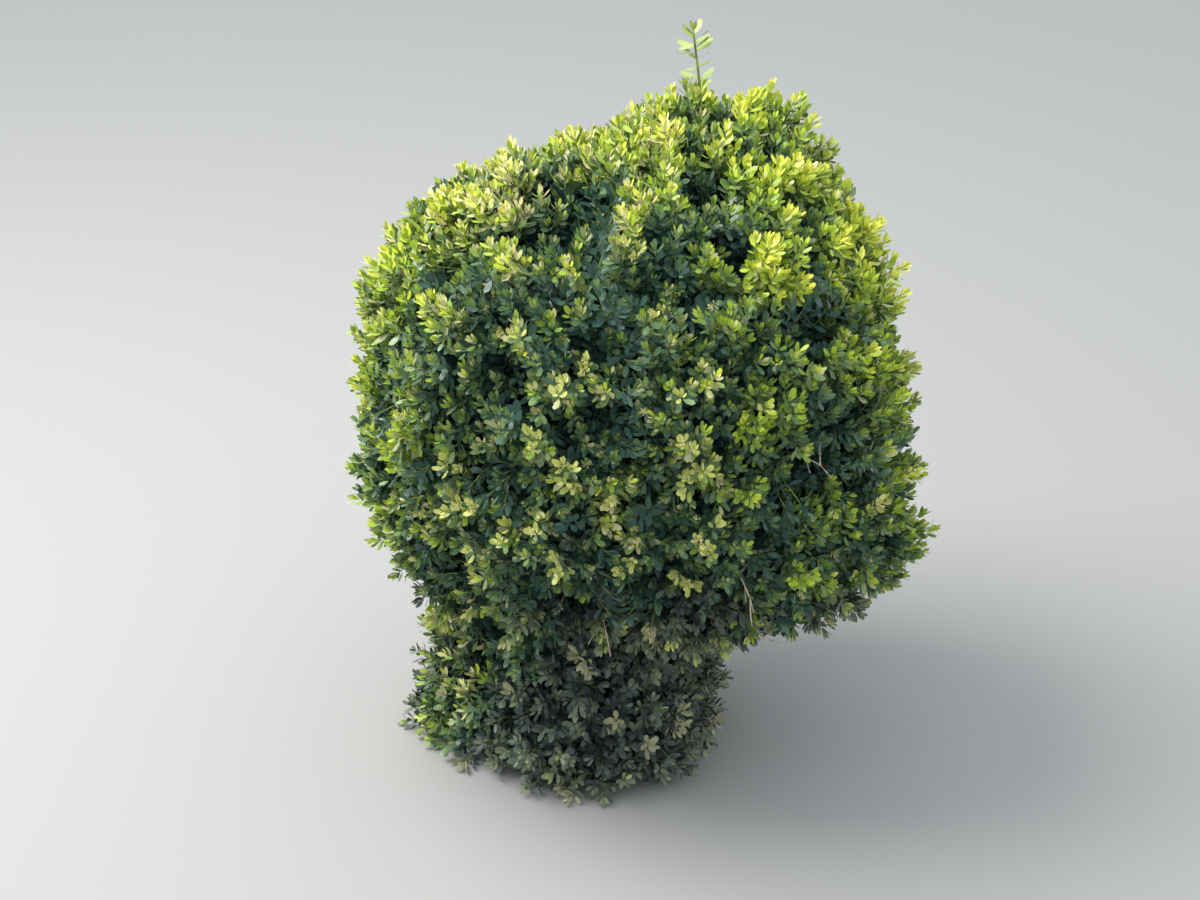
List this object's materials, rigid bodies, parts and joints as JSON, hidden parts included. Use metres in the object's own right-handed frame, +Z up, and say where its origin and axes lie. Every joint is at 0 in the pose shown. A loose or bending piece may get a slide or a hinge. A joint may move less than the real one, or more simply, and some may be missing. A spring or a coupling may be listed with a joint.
{
  "type": "box topiary ball",
  "caption": "Clipped evergreen box ball grown in open ground: short flared stem, fanned boughs, dense masses of small leaves in a lumpy ball with a leafy foot, and one loose shoot on top.",
  "frame": {"origin": "centre of the flat cut under the stem, at ground level", "axes": "+Z up, -Y towards the front as pictured, +X to its right"},
  "size_m": [0.5405, 0.5145, 0.6841],
  "materials": {
    "bark": "fine-cracked, buff grey-brown bark",
    "young_bark": "smooth young bark, greenish tan",
    "foliage": "small glossy leaves, deep green with brighter spring growth",
    "shaded_foliage": "older, duller leaves of the shaded foot",
    "new_foliage": "soft new leaves, yellow-green"
  },
  "bodies": {
    "root": {"bough_back": "bark", "bough_back_right": "bark", "bough_front": "bark", "bough_front_left": "bark", "bough_left": "bark", "bough_right": "bark", "crown_lower_back": "foliage", "crown_lower_back_limb": "young_bark", "crown_lower_back_right": "foliage", "crown_lower_back_right_limb": "young_bark", "crown_lower_front": "foliage", "crown_lower_front_left": "foliage", "crown_lower_front_left_limb": "young_bark", "crown_lower_front_limb": "young_bark", "crown_lower_left": "foliage", "crown_lower_left_limb": "young_bark", "crown_lower_right": "foliage", "crown_lower_right_limb": "young_bark", "crown_top_back": "foliage", "crown_top_back_left": "foliage", "crown_top_back_left_limb": "young_bark", "crown_top_back_limb": "young_bark", "crown_top_front": "foliage", "crown_top_front_left": "foliage", "crown_top_front_left_limb": "young_bark", "crown_top_front_limb": "young_bark", "crown_upper_back": "foliage", "crown_upper_back_limb": "young_bark", "crown_upper_back_right": "foliage", "crown_upper_back_right_limb": "young_bark", "crown_upper_front": "foliage", "crown_upper_front_left": "foliage", "crown_upper_front_left_limb": "young_bark", "crown_upper_front_limb": "young_bark", "crown_upper_left": "foliage", "crown_upper_left_limb": "young_bark", "crown_upper_right": "foliage", "crown_upper_right_limb": "young_bark", "foot_back": "shaded_foliage", "foot_back_branch": "young_bark", "foot_front": "shaded_foliage", "foot_front_branch": "young_bark", "foot_left": "shaded_foliage", "foot_left_branch": "young_bark", "foot_right": "shaded_foliage", "foot_right_branch": "young_bark", "leader": "bark", "stem": "bark", "top_sprig": "new_foliage"}
  },
  "joints": []
}
